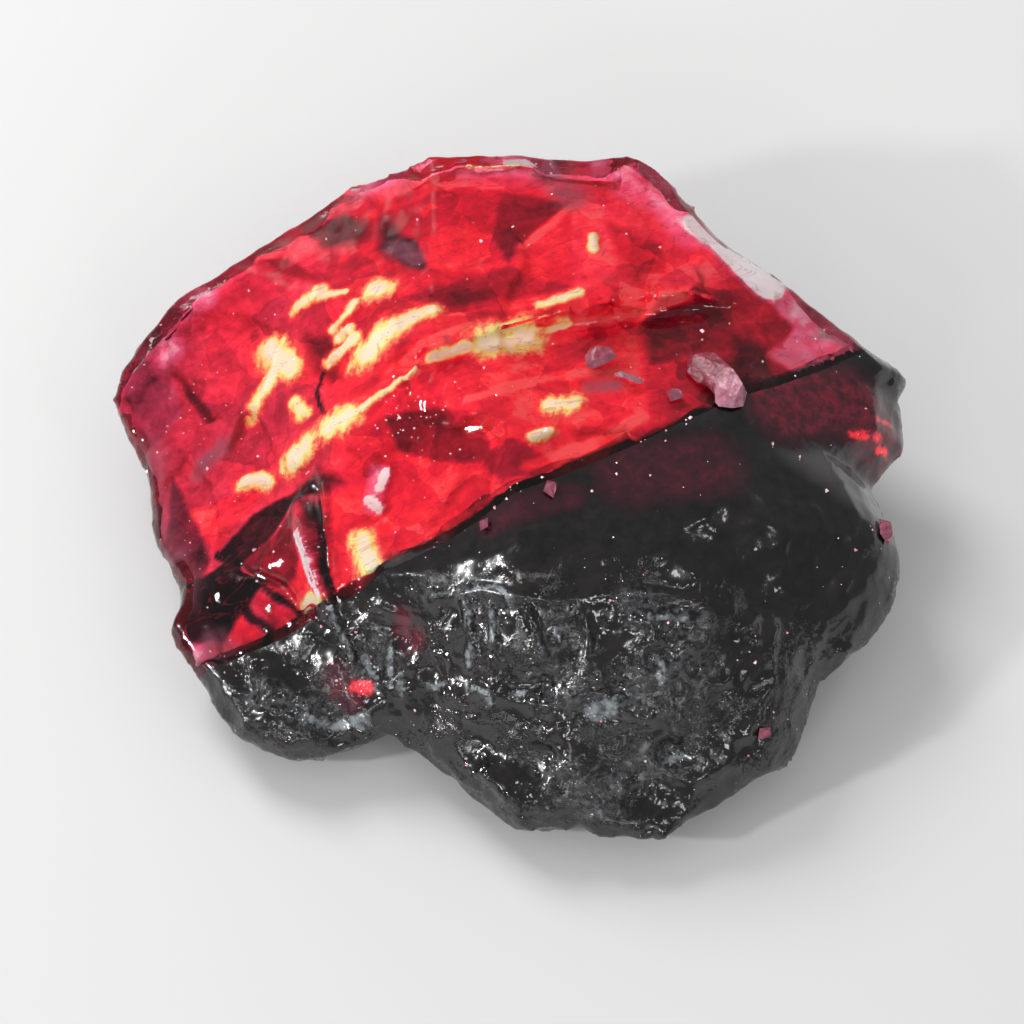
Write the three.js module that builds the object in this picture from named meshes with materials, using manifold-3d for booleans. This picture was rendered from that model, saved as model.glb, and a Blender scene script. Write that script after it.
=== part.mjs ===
// Raw ruby crystal: one broken lump with a high crown, a stepped back, a steep front flank and
// low lobes at the sides, and the loose crumbs that lie on it.
// Millimetres, +Z up. The lump is widest along X, its steep flank faces -Y, and it lies on z = 0.
import * as THREE from 'three';
import { ConvexGeometry } from 'three/addons/geometries/ConvexGeometry.js';
import { mergeVertices } from 'three/addons/utils/BufferGeometryUtils.js';
import Module from 'manifold-3d';

const wasm = await Module();
wasm.setup();

// Driving dimensions.
const RIM_STEPS_PER_POINT = 2;
const CUTTER_SIZE = 70;
const BALL_EDGE = 1.3;
const UNDERSIDE_STEEPNESS = 1.05;
const BACK_STEEPNESS = 1.7;
const LEDGE_RADIUS = 41;
const CRUMB_GAP = 0.12;
const FLAKE_BITE = { at: [-1.0, -0.8], radius: 0.82 };
const BITE_HEIGHT = 3;
const BITE_SIDES = 26;

const RUBY_RED = 0x9c1230;
const CRUMB_PINK = 0xd9a3b0;

// The shoulder rises from the rim: how far in towards the middle, and how far up.
const SHOULDER = [[0.99, 0.5], [0.965, 1.2], [0.92, 2.1], [0.84, 3.3], [0.7, 5.0], [0.4, 8.0]];
const SHOULDER_TOP = 18;
const UNDERSIDE_RINGS = [0.3, 0.65];

// The rim is the widest line around the lump: x, y and its height above the ground, going
// counter-clockwise from the right end. It is high at the back and low at the front.
const RIM = [
  [14.1, 0.7, 3.6], [15.4, 2.1, 4.1], [15.1, 4.2, 4.4], [15.6, 4.9, 4.7], [14.1, 6.0, 5.2], [12.4, 7.1, 5.8],
  [10.3, 8.6, 6.4], [8.6, 9.7, 7.0], [7.0, 11.5, 7.4], [5.9, 12.8, 7.8], [4.6, 13.3, 8.2], [3.0, 12.9, 8.4],
  [0.4, 13.1, 8.6], [-2.2, 13.1, 8.5], [-4.6, 13.1, 8.1], [-6.0, 12.8, 7.8], [-7.3, 11.8, 7.3], [-9.4, 10.5, 6.6],
  [-11.6, 9.3, 5.9], [-13.7, 8.2, 5.2], [-15.0, 6.6, 4.5], [-15.8, 4.8, 3.8], [-15.2, 3.4, 3.1], [-14.4, 2.0, 2.7],
  [-14.0, -1.2, 2.6], [-12.9, -3.6, 2.8], [-13.3, -5.2, 3.0], [-12.5, -6.1, 2.6], [-11.7, -7.4, 2.2],
  [-10.6, -9.2, 1.8], [-8.6, -10.0, 1.6], [-6.6, -9.7, 1.6], [-4.9, -9.1, 1.8], [-3.7, -9.7, 1.6], [-2.0, -11.3, 1.6],
  [0.2, -13.0, 1.6], [2.4, -13.0, 1.6], [4.9, -13.4, 1.6], [7.0, -12.4, 1.8], [8.7, -11.5, 2.0], [10.3, -10.4, 2.2],
  [11.4, -8.7, 2.4], [11.8, -7.2, 2.6], [13.7, -5.7, 2.8], [14.8, -3.8, 3.2], [15.0, -2.2, 3.6],
];

// The breaks of the top. Each one is a shallow shell shape: a point at its middle, how much the
// surface rises there along +X and along +Y, and the radius of the ball that it follows.
const BREAKS = [
  { name: 'crown', at: [5.0, -3.2, 9.3], rise: [-0.06, 0.05], radius: 60 },
  { name: 'back', at: [-0.6, 8.2, 9.2], rise: [-0.02, -0.12], radius: 34 },
  { name: 'back_right', at: [4.6, 9.6, 8.9], rise: [-0.1, -0.1], radius: 24 },
  { name: 'back_left', at: [-6.6, 8.8, 7.9], rise: [0.3, -0.1], radius: 26 },
  { name: 'left', at: [-9.8, 4.6, 6.4], rise: [0.42, 0.12], radius: 22 },
  { name: 'left_edge', at: [-13.6, 4.6, 5.2], rise: [0.7, 0.2], radius: 14 },
  { name: 'left_front', at: [-11.0, -1.2, 4.5], rise: [0.56, 0.06], radius: 18 },
  { name: 'valley', at: [-4.9, -2.4, 7.6], rise: [0.26, 0.2], radius: 15 },
  { name: 'spur', at: [-10.8, -5.4, 3.9], rise: [0.3, 0.42], radius: 12 },
  { name: 'lobe', at: [-7.6, -7.6, 3.8], rise: [0.1, 0.7], radius: 12 },
  { name: 'notch', at: [-3.9, -7.7, 4.9], rise: [0.5, 1.5], radius: 9 },
  { name: 'flank_left', at: [-0.4, -9.6, 5.0], rise: [0.12, 1.15], radius: 12 },
  { name: 'flank', at: [5.2, -10.2, 4.7], rise: [-0.05, 1.15], radius: 16 },
  { name: 'flank_brow', at: [2.4, -7.4, 8.0], rise: [0.02, 0.6], radius: 20 },
  { name: 'right', at: [11.6, -0.8, 7.0], rise: [-0.5, 0.05], radius: 22 },
  { name: 'right_front', at: [10.4, -6.4, 5.6], rise: [-0.66, 0.5], radius: 15 },
  { name: 'right_back', at: [10.2, 4.6, 7.9], rise: [-0.4, -0.16], radius: 18 },
  { name: 'back_bevel', at: [8.3, 9.3, 7.9], rise: [-0.8, -0.6], radius: 16 },
];

// The breaks of the sides, below the rim: the centre and the radius of the ball of each one.
const SIDE_SCOOPS = [
  { name: 'back_wall', centre: [-5.0, 25.6, 3.4], radius: 14.0 },
  { name: 'back_wall_right', centre: [14.6, 21.0, 0.6], radius: 14.6 },
  { name: 'left_wall', centre: [-26.2, 10.4, -0.6], radius: 12.6 },
  { name: 'right_wall', centre: [26.0, 1.4, -3.2], radius: 12.4 },
];

// The ledge is a curved step across the top. In front of it the crown is a little lower.
const LEDGE = { at: [0.0, 4.3, 9.15], rise: [-0.07, -0.19], towardsCrown: [0.34, -0.94] };

function riseNormal(rise) {
  return new THREE.Vector3(-rise[0], -rise[1], 1).normalize();
}

function ballCentre(shell) {
  return new THREE.Vector3(...shell.at).addScaledVector(riseNormal(shell.rise), shell.radius);
}

function rimPoints() {
  const corners = RIM.map((point) => new THREE.Vector3(...point));
  const curve = new THREE.CatmullRomCurve3(corners, true, 'catmullrom', 0.35);
  return curve.getPoints(corners.length * RIM_STEPS_PER_POINT).slice(0, -1);
}

// Below the rim the lump draws in to its flat base, steeply at the back.
function baseInset(rim) {
  const angle = Math.atan2(rim.y, rim.x);
  const back = Math.max(0, Math.sin(angle)) ** 2;
  const wander = 1 + 0.22 * Math.sin(5 * angle + 1) + 0.13 * Math.sin(9 * angle + 2.4);
  return rim.z / ((UNDERSIDE_STEEPNESS + BACK_STEEPNESS * back) * wander);
}

function undersidePoint(rim, part) {
  const scale = 1 - (baseInset(rim) * part) / Math.hypot(rim.x, rim.y);
  return new THREE.Vector3(rim.x * scale, rim.y * scale, rim.z * (1 - part ** 0.85));
}

function shoulderPoint(rim, [part, up]) {
  return new THREE.Vector3(rim.x * part, rim.y * part, rim.z + up);
}

// Rings of points, from high over the middle, over the rim, to the edge of the base.
function blankRings() {
  const rim = rimPoints();
  const shoulder = SHOULDER.map((step) => rim.map((point) => shoulderPoint(point, step))).reverse();
  const underside = UNDERSIDE_RINGS.map((part) => rim.map((point) => undersidePoint(point, part)));
  const base = rim.map((point) => undersidePoint(point, 1));
  return [...shoulder, rim, ...underside, base];
}

// One closed skin: a fan at the middle of the top, bands between the rings and a flat base.
function skin(rings, topMiddle, baseMiddle) {
  const count = rings[0].length;
  const points = [topMiddle, ...rings.flat(), baseMiddle];
  const index = [];
  for (let i = 0; i < count; i += 1) {
    index.push(0, 1 + i, 1 + ((i + 1) % count));
  }
  for (let ring = 0; ring < rings.length - 1; ring += 1) {
    const upper = 1 + ring * count;
    const lower = upper + count;
    for (let i = 0; i < count; i += 1) {
      const next = (i + 1) % count;
      index.push(upper + i, lower + i, lower + next, upper + i, lower + next, upper + next);
    }
  }
  const last = 1 + (rings.length - 1) * count;
  for (let i = 0; i < count; i += 1) {
    index.push(points.length - 1, last + ((i + 1) % count), last + i);
  }
  return new THREE.BufferGeometry().setFromPoints(points).setIndex(index);
}

function toSolid(geometry) {
  const bare = geometry.index ? geometry.clone() : geometry;
  bare.deleteAttribute('normal');
  bare.deleteAttribute('uv');
  const merged = mergeVertices(bare, 1e-4);
  const vertProperties = new Float32Array(merged.attributes.position.array);
  const triVerts = new Uint32Array(merged.index.array);
  return new wasm.Manifold(new wasm.Mesh({ numProp: 3, vertProperties, triVerts }));
}

function fromSolid(solid) {
  const { vertProperties, triVerts } = solid.getMesh();
  const geometry = new THREE.BufferGeometry();
  geometry.setAttribute('position', new THREE.BufferAttribute(vertProperties, 3));
  geometry.setIndex(new THREE.BufferAttribute(triVerts, 1));
  geometry.computeVertexNormals();
  return geometry;
}

function ballCutter(centre, radius) {
  const ball = new THREE.IcosahedronGeometry(radius, Math.round(radius / BALL_EDGE));
  ball.translate(...centre);
  return toSolid(ball);
}

// A wide drum: its wall is the face of the ledge and its under face is the lowered crown.
function ledgeCutter() {
  const drum = new THREE.CylinderGeometry(LEDGE_RADIUS, LEDGE_RADIUS, CUTTER_SIZE, 180);
  drum.rotateX(Math.PI / 2);
  drum.translate(0, 0, CUTTER_SIZE / 2);
  const turn = new THREE.Quaternion().setFromUnitVectors(new THREE.Vector3(0, 0, 1), riseNormal(LEDGE.rise));
  drum.translate(LEDGE.towardsCrown[0] * LEDGE_RADIUS, LEDGE.towardsCrown[1] * LEDGE_RADIUS, 0);
  drum.applyQuaternion(turn);
  drum.translate(...LEDGE.at);
  return toSolid(drum);
}

function makeCrystal() {
  const topMiddle = new THREE.Vector3(0, 0, SHOULDER_TOP);
  const blank = toSolid(skin(blankRings(), topMiddle, new THREE.Vector3(0, 0, 0)));
  const shells = BREAKS.map((shell) => ballCutter(ballCentre(shell), shell.radius));
  const scoops = SIDE_SCOOPS.map((scoop) => ballCutter(scoop.centre, scoop.radius));
  const broken = [...shells, ...scoops, ledgeCutter()].reduce((solid, cutter) => solid.subtract(cutter), blank);
  const material = new THREE.MeshStandardMaterial({ color: RUBY_RED, roughness: 0.12, metalness: 0 });
  const mesh = new THREE.Mesh(fromSolid(broken), material);
  mesh.name = 'crystal';
  return mesh;
}

// An upright round cutter.
function biteCutter({ at, radius }) {
  const drum = new THREE.CylinderGeometry(radius, radius, BITE_HEIGHT, BITE_SIDES);
  drum.rotateX(Math.PI / 2);
  drum.translate(...at, 0);
  return toSolid(drum);
}

function groundHeight(ground, x, y) {
  const ray = new THREE.Raycaster(new THREE.Vector3(x, y, CUTTER_SIZE), new THREE.Vector3(0, 0, -1));
  return ray.intersectObject(ground)[0].point.z;
}

// The way that the ground faces around a place.
function groundNormal(ground, x, y) {
  const reach = 0.5;
  const riseX = (groundHeight(ground, x + reach, y) - groundHeight(ground, x - reach, y)) / (2 * reach);
  const riseY = (groundHeight(ground, x, y + reach) - groundHeight(ground, x, y - reach)) / (2 * reach);
  return riseNormal([riseX, riseY]);
}

// A crumb is a small splinter with flat faces. Its corners are listed with its under face at z = 0,
// and it may have a hollow bite out of one side.
function makeCrumb(ground, name, [x, y], turn, corners, bite) {
  const points = corners.map((corner) => new THREE.Vector3(...corner));
  const whole = new ConvexGeometry(points);
  const shape = bite ? fromSolid(toSolid(whole).subtract(biteCutter(bite))) : whole;
  const material = new THREE.MeshStandardMaterial({ color: CRUMB_PINK, roughness: 0.2, metalness: 0 });
  const mesh = new THREE.Mesh(shape, material);
  mesh.name = name;
  mesh.quaternion.setFromUnitVectors(new THREE.Vector3(0, 0, 1), groundNormal(ground, x, y));
  mesh.rotateZ(THREE.MathUtils.degToRad(turn));
  mesh.position.set(x, y, 0);
  mesh.updateMatrixWorld();
  const under = points.map((point) => point.clone().applyMatrix4(mesh.matrixWorld));
  const lifts = under.map((point) => groundHeight(ground, point.x, point.y) - point.z);
  mesh.position.z = Math.max(...lifts) + CRUMB_GAP;
  return mesh;
}

function makeCrumbs(ground) {
  return [
    makeCrumb(ground, 'large_flake', [7.8, 2.2], 0, [
      [-1.2, 0.55, 0], [-1.15, 1.5, 0], [-0.25, 1.57, 0], [0.1, 1.4, 0], [0.9, 0.15, 0], [1.05, -0.4, 0],
      [0.88, -1.1, 0], [0.5, -1.22, 0], [-0.05, -1.18, 0],
      [-0.9, 1.2, 0.3], [-0.2, 1.25, 0.45], [0.5, 0.15, 0.65], [0.8, -0.5, 0.6], [0.6, -0.95, 0.45],
      [0.05, -0.6, 0.4], [-0.8, 0.6, 0.25],
    ], FLAKE_BITE),
    makeCrumb(ground, 'pale_flake', [3.35, 3.3], 0, [
      [-0.64, 0.0, 0], [-0.43, 0.46, 0], [0.35, 0.62, 0], [0.62, 0.1, 0], [0.1, -0.34, 0], [-0.36, -0.6, 0],
      [-0.58, -0.5, 0], [-0.4, 0.1, 0.2], [-0.2, 0.35, 0.28], [0.28, 0.36, 0.26], [0.3, 0.08, 0.22],
      [-0.35, -0.35, 0.18],
    ]),
    makeCrumb(ground, 'sliver', [4.4, 2.35], -24, [
      [-0.6, -0.14, 0], [-0.35, 0.14, 0], [0.6, 0.12, 0], [0.5, -0.14, 0], [-0.4, -0.03, 0.18], [0.35, 0.02, 0.2],
    ]),
    makeCrumb(ground, 'grain', [6.1, 1.55], 30, [
      [-0.32, -0.22, 0], [-0.2, 0.28, 0], [0.3, 0.2, 0], [0.26, -0.26, 0],
      [-0.1, 0.1, 0.34], [0.16, -0.06, 0.3],
    ]),
    makeCrumb(ground, 'boundary_grain', [1.4, -2.8], 64, [
      [-0.3, -0.24, 0], [-0.24, 0.22, 0], [0.24, 0.28, 0], [0.34, -0.12, 0],
      [-0.06, 0.06, 0.32], [0.14, -0.04, 0.36],
    ]),
    makeCrumb(ground, 'speck', [-1.1, -3.9], 20, [
      [-0.22, -0.18, 0], [-0.16, 0.2, 0], [0.24, 0.14, 0], [0.12, -0.22, 0],
      [0.0, 0.0, 0.26],
    ]),
    makeCrumb(ground, 'edge_flake', [14.2, -2.0], 80, [
      [-0.5, -0.28, 0], [-0.34, 0.3, 0], [0.42, 0.34, 0], [0.5, -0.2, 0],
      [-0.2, -0.08, 0.34], [0.24, 0.14, 0.38], [0.2, -0.1, 0.32],
    ]),
    makeCrumb(ground, 'flank_grain', [9.4, -10.0], 15, [
      [-0.28, -0.22, 0], [-0.2, 0.24, 0], [0.26, 0.2, 0], [0.22, -0.24, 0],
      [-0.04, 0.04, 0.3], [0.12, -0.02, 0.28],
    ]),
  ];
}

function centredOnBase(group) {
  const box = new THREE.Box3().setFromObject(group, true);
  const middle = box.getCenter(new THREE.Vector3());
  group.position.set(-middle.x, -middle.y, -box.min.z);
  return group;
}

const crystal = makeCrystal();
const rubyCrystal = new THREE.Group();
rubyCrystal.add(crystal, ...makeCrumbs(crystal));

export default centredOnBase(rubyCrystal);
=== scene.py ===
import math

import bmesh
import bpy
import numpy as np
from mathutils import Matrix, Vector


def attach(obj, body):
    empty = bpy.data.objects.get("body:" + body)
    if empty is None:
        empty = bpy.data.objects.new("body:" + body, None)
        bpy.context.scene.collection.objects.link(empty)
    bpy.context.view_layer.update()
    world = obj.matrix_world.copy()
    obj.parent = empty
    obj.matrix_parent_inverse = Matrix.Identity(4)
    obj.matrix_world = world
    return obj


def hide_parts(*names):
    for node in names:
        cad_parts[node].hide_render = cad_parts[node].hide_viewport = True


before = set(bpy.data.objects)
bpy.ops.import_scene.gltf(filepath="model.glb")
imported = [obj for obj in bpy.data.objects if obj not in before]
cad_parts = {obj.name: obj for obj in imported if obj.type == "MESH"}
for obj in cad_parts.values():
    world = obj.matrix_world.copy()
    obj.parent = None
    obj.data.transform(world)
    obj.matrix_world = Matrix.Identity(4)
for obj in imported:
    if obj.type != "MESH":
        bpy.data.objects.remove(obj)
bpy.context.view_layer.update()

MM = 0.001

# Sizes in millimetres, in the frame of the CAD.
# How wide one face is on the fine skin, on the silk and on the silk's first rough shape.
VOXEL = 0.155
SILK_VOXEL = 0.14
SILK_START_VOXEL = 0.25
# How far the silk stays below the skin and behind the edge of the painted shade.
SILK_GAP = 0.15
SILK_BOUNDARY_GAP = 0.25
# The line between the clear red and the painted shade: its place at x = 0, its slope and its bend.
BOUNDARY_START, BOUNDARY_SLOPE, BOUNDARY_BEND = -3.0, 0.45, 0.0105
# Turns a distance along y into the distance across that line.
BOUNDARY_LEAN = 0.9
# How deep a round dent is, as a share of its radius.
DENT_DEPTH = 0.42
# Points of the CAD mesh that lie closer than this are one point.
JOIN_REACH = 0.0005
# More than any distance on the stone.
FAR = 99.0
# The dust: how many grains, the smallest one's half width and how much wider one may be.
DUST_COUNT = 400
DUST_SMALLEST = 0.022
DUST_SPREAD = 0.06

FLOOR_REACH = 1.6
FLOOR_HEIGHT = -0.0001
FLOOR_GREY = 0.30
ROOM_LIGHT = 1.38
MIRRORED_ROOM = 0.25
# Each light: its name, place and width in metres, its power and whether polished faces mirror it.
LIGHTS = [
    ("key", (-0.16, -0.06, 0.10), 0.016, 0.28, True),
    ("front_left", (-0.16, -0.34, 0.24), 0.09, 0.26, True),
    ("front", (0.08, -0.38, 0.17), 0.08, 0.21, True),
    ("front_right", (0.26, -0.20, 0.30), 0.07, 0.13, True),
    ("left_glow", (-0.10, 0.13, 0.17), 0.10, 0.70, False),
]
CAMERA_AIM = (0.05, -0.7, 4.5)
CAMERA_LENS = 120
CAMERA_SENSOR = 36
CAMERA_REACH = 0.132
CAMERA_NEAREST = 0.005
CAMERA_ELEVATION = math.radians(60)


# ---- numbers for surfaces ------------------------------------------------------------------

def hashed(keys, seed):
    """One repeatable random number from 0 to 1 for each row of three whole numbers."""
    x = keys[..., 0].astype(np.int64) * 73856093
    y = keys[..., 1].astype(np.int64) * 19349663
    z = keys[..., 2].astype(np.int64) * 83492791
    h = (x ^ y ^ z ^ (seed * 2654435761)) & 0xFFFFFFFF
    h = ((h ^ (h >> 15)) * 2246822519) & 0xFFFFFFFF
    h = ((h ^ (h >> 13)) * 3266489917) & 0xFFFFFFFF
    return ((h ^ (h >> 16)) & 0xFFFFFF) / float(0xFFFFFF)


def noise(points, size, seed=0):
    """Smooth random hills of about this size, from -1 to 1."""
    p = points / size
    base = np.floor(p).astype(np.int64)
    part = p - base
    part = part * part * (3 - 2 * part)
    total = np.zeros(len(points))
    for dx in (0, 1):
        for dy in (0, 1):
            for dz in (0, 1):
                corner = hashed(base + np.array([dx, dy, dz]), seed)
                wx = part[:, 0] if dx else 1 - part[:, 0]
                wy = part[:, 1] if dy else 1 - part[:, 1]
                wz = part[:, 2] if dz else 1 - part[:, 2]
                total += corner * wx * wy * wz
    return total * 2 - 1


def warp(points, size, amount, seed):
    """The points, each pushed aside by smooth random hills."""
    shifts = [noise(points, size, seed + k) for k in range(3)]
    return points + amount * np.stack(shifts, axis=1)


def cells(points, size, seed=0):
    """For each point, its place in the nearest of some scattered cells, how far it lies from
    the cell's middle and the cell's own random number."""
    p = points / size
    base = np.floor(p).astype(np.int64)
    near = np.full(len(points), 9.0)
    place = np.zeros_like(points)
    name = np.zeros(len(points))
    for dx in (-1, 0, 1):
        for dy in (-1, 0, 1):
            for dz in (-1, 0, 1):
                cell = base + np.array([dx, dy, dz])
                middle = np.stack([hashed(cell, seed + k) for k in range(3)], axis=1)
                gap = p - cell - middle
                reach = np.linalg.norm(gap, axis=1)
                closer = reach < near
                near = np.where(closer, reach, near)
                place = np.where(closer[:, None], gap, place)
                name = np.where(closer, hashed(cell, seed + 7), name)
    return place, near, name


def smooth(x, low, high):
    """0 below the low value, 1 above the high one and an even bend between them."""
    t = np.clip((x - low) / (high - low), 0, 1)
    return t * t * (3 - 2 * t)


# ---- the fine mesh -------------------------------------------------------------------------

def cad_copy(node):
    """A copy of a CAD node's mesh, in millimetres, with its split edges joined."""
    bm = bmesh.new()
    bm.from_mesh(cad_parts[node].data)
    bmesh.ops.scale(bm, vec=(1 / MM, 1 / MM, 1 / MM), verts=bm.verts)
    bmesh.ops.remove_doubles(bm, verts=bm.verts, dist=JOIN_REACH)
    mesh = bpy.data.meshes.new(node + "_fine")
    bm.to_mesh(mesh)
    bm.free()
    return mesh


def remeshed(mesh, voxel):
    """The mesh rebuilt from small even quads."""
    work = bpy.data.objects.new("work", mesh)
    bpy.context.scene.collection.objects.link(work)
    step = work.modifiers.new("fine", "REMESH")
    step.mode = "VOXEL"
    step.voxel_size = voxel
    step.adaptivity = 0
    graph = bpy.context.evaluated_depsgraph_get()
    result = bpy.data.meshes.new_from_object(work.evaluated_get(graph))
    bpy.data.objects.remove(work)
    return result


def points_of(mesh):
    """The mesh's points, one row for each."""
    flat = np.empty(len(mesh.vertices) * 3, np.float32)
    mesh.vertices.foreach_get("co", flat)
    return flat.reshape(-1, 3).astype(float)


def set_points(mesh, points):
    """Moves the mesh's points to new places."""
    mesh.vertices.foreach_set("co", points.astype(np.float32).ravel())
    mesh.update()


def normals_of(mesh):
    """The outward direction at each point."""
    flat = np.empty(len(mesh.vertices) * 3, np.float32)
    mesh.vertex_normals.foreach_get("vector", flat)
    return flat.reshape(-1, 3).astype(float)


def edges_of(mesh):
    """The two point numbers of each edge."""
    flat = np.empty(len(mesh.edges) * 2, np.int32)
    mesh.edges.foreach_get("vertices", flat)
    return flat.reshape(-1, 2)


def relaxed(points, edges, times, share=0.5):
    """The points, evened out by moving each one towards the middle of its neighbours."""
    count = np.bincount(edges.ravel(), minlength=len(points)).astype(float)
    for _ in range(times):
        total = np.zeros_like(points)
        for axis in range(3):
            total[:, axis] += np.bincount(edges[:, 0], points[edges[:, 1], axis], len(points))
            total[:, axis] += np.bincount(edges[:, 1], points[edges[:, 0], axis], len(points))
        points = points + share * (total / count[:, None] - points)
    return points


# ---- marks on the plan of the stone --------------------------------------------------------

def path_gap(points, path):
    """Distance on the plan from each point to a line through some places."""
    gap = np.full(len(points), FAR)
    plan = points[:, :2]
    ends = path[1:] if len(path) > 1 else path
    for start, end in zip(path, ends):
        start, end = np.array(start), np.array(end)
        run = end - start
        along = np.clip((plan - start) @ run / max(run @ run, 1e-9), 0, 1)
        gap = np.minimum(gap, np.linalg.norm(plan - start - along[:, None] * run, axis=1))
    return gap


def marks(points, strokes):
    """1 on the middle line of a stroke, 0 at its edge and below 0 outside it."""
    field = np.full(len(points), -1.0)
    for width, path in strokes:
        field = np.maximum(field, 1 - path_gap(points, path) / width)
    return field


# Painted glowing streaks in the clear zone: the half width of each one and its line on the plan.
PAINTED_GLOW_STREAKS = [
    # the ledge, from its left end to its right end
    (0.52, [(-8.2, 0.7), (-7.7, 1.0)]),
    (0.58, [(-6.9, 1.3), (-6.2, 1.6)]),
    (0.20, [(-6.0, 1.5), (-4.9, 2.1)]),
    (0.13, [(-4.9, 2.0), (-3.6, 2.7)]),
    (0.22, [(-3.1, 3.2), (-1.6, 3.8)]),
    (0.72, [(-0.9, 4.0), (0.6, 4.5)]),
    (0.16, [(0.9, 4.9), (2.2, 5.3)]),
    (0.28, [(1.2, 5.7), (2.6, 6.2)]),
    # the glowing patch in front of the ledge
    (0.52, [(1.6, 1.1), (2.4, 1.3)]),
    (0.24, [(0.8, -0.4), (1.5, -0.1)]),
    # the broken shell marks at the left
    (0.28, [(-8.3, 7.0), (-7.7, 7.3), (-7.3, 7.5)]),
    (0.20, [(-7.6, 7.6), (-7.4, 7.2), (-6.4, 7.2)]),
    (0.56, [(-5.2, 6.9), (-4.9, 7.0)]),
    (0.22, [(-6.0, 6.6), (-6.2, 6.1), (-6.7, 5.8)]),
    (0.24, [(-6.5, 5.4), (-6.2, 5.4)]),
    (0.30, [(-6.0, 4.9), (-6.8, 4.5)]),
    (0.62, [(-5.5, 4.0), (-4.8, 4.5), (-4.2, 4.9)]),
    (0.40, [(-4.2, 4.9), (-3.0, 5.3)]),
    (0.60, [(-9.3, 5.6), (-8.9, 5.0), (-8.5, 4.5)]),
    (0.34, [(-9.0, 4.9), (-9.4, 4.1), (-9.9, 3.3)]),
    (0.28, [(-8.3, 2.9), (-7.9, 2.3)]),
    # the left flank and the hollow before the crest
    (0.30, [(-10.3, 0.5), (-9.7, 0.5), (-9.2, 0.1)]),
    (0.55, [(-5.5, -3.4), (-5.1, -4.6)]),
    (0.25, [(-7.6, -4.8), (-7.2, -5.2)]),
    # the thin back edges
    (0.12, [(-2.2, 12.7), (0.9, 12.8)]),
    (0.22, [(3.2, 9.1), (3.2, 8.4)]),
]
# Painted white highlights: on the thin edge at the back right, the crest and the chipped spot beside
# it.
PAINTED_HIGHLIGHTS = [
    (0.95, [(7.4, 10.1), (8.2, 9.3), (9.2, 8.4), (10.0, 7.7)]),
    (0.10, [(-8.0, -2.4), (-7.5, -4.0), (-7.1, -5.0)]),
    (0.26, [(-4.7, -0.8), (-4.9, -1.3)]),
    (0.20, [(-5.4, -1.7), (-4.9, -2.1)]),
]
# Thin lines of painted light: along the ledge, above it and along the lower left cracks.
PAINTED_LIGHT_LINES = [
    (0.22, [(-8.1, 1.2), (-5.7, 2.1), (-2.7, 3.4), (0.4, 4.8), (3.4, 5.6), (6.9, 6.6)]),
    (0.34, [(-2.7, 5.2), (-1.2, 5.6), (0.4, 5.9), (2.6, 6.3)]),
    (0.25, [(-4.6, 2.9), (-1.6, 4.6), (1.0, 5.3)]),
    (0.25, [(0.4, 8.7), (2.3, 10.7)]),
    (0.25, [(-1.6, 1.2), (1.6, 2.6), (4.6, 2.9)]),
    (0.30, [(0.6, -1.6), (3.2, -0.3), (5.0, 0.5)]),
]
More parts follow.
